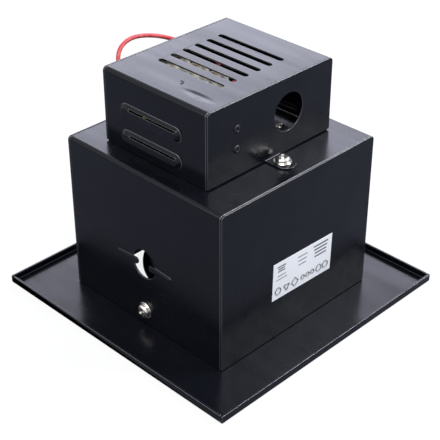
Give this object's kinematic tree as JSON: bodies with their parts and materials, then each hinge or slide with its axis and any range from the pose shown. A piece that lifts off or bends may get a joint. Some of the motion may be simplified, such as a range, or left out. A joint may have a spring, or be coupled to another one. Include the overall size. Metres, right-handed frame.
{
  "type": "recessed ceiling downlight",
  "caption": "Square black recessed downlight with a tilting round lamp head, a boxed lamp housing, a louvred wiring box on top and looped silicone lamp leads.",
  "frame": {"origin": "centre of the trim's front face, which the downlight lies on", "axes": "+Z from the trim's front face up into the ceiling; -Y is a wall with a spring seat and a pivot screw; +X is the panel with the rating label; the tilt axis runs along Y"},
  "size_m": [0.18, 0.18, 0.1461],
  "materials": {
    "black_powder_coat": "satin black powder coat on folded sheet steel",
    "black_rivets": "black coated blind rivets",
    "plated_steel": "bright nickel plate on cross-recess screws, washers and nuts",
    "zinc_steel": "zinc plated sheet, dull",
    "porcelain": "glazed white steatite",
    "brass": "turned brass",
    "black_plastic": "moulded black nylon",
    "earth_sleeve": "green and yellow insulation",
    "black_rubber": "soft black grommet rubber",
    "red_silicone": "matt red silicone insulation",
    "label_film": "white polyester label film",
    "white_silicone": "translucent white silicone",
    "clear_glass": "clear toughened glass",
    "polished_aluminium": "polished and anodised",
    "burner_ceramic": "translucent alumina"
  },
  "bodies": {
    "root": {"trim_tray": "black_powder_coat", "lamp_housing": "black_powder_coat", "side_panel_right": "black_powder_coat", "side_panel_left": "black_powder_coat", "wiring_cover": "black_powder_coat", "end_plate_right": "black_powder_coat", "end_plate_left": "black_powder_coat", "ear_screws": "plated_steel", "ear_washers": "plated_steel", "ear_nuts": "plated_steel", "terminal_bracket": "zinc_steel", "bracket_rivets": "black_rivets", "terminal_block": "porcelain", "pole_tubes": "brass", "pole_screws": "brass", "block_screws": "plated_steel", "cord_clamp": "black_plastic", "clamp_screws": "plated_steel", "earth_screw": "plated_steel", "earth_eye": "zinc_steel", "earth_lead": "earth_sleeve", "side_grommets": "black_rubber", "top_grommets": "black_rubber", "lamp_lead_a": "red_silicone", "lamp_lead_b": "red_silicone", "lead_tail_a": "red_silicone", "lead_tail_b": "red_silicone", "pivot_screws": "plated_steel", "pivot_washers": "plated_steel", "friction_washers": "plated_steel", "pivot_nuts": "plated_steel", "rating_label": "label_film"},
    "lamp_head": {"lamp_ring": "black_powder_coat", "lamp_can": "black_powder_coat", "can_rivets": "zinc_steel", "glass_gasket": "white_silicone", "front_glass": "clear_glass", "reflector": "polished_aluminium", "lampholder": "porcelain", "holder_screws": "plated_steel", "holder_nuts": "plated_steel", "lamp_base": "porcelain", "lamp_pins": "zinc_steel", "lamp_bulb": "clear_glass", "lamp_burner": "burner_ceramic"}
  },
  "joints": [
    {"name": "lamp_tilt", "type": "hinge", "parent": "root", "child": "lamp_head", "pos_m": [0, 0, 0.0112], "axis": [0, 1, 0], "range_deg": [-30, 30], "deforming": ["lead_tail_a", "lead_tail_b"]}
  ]
}
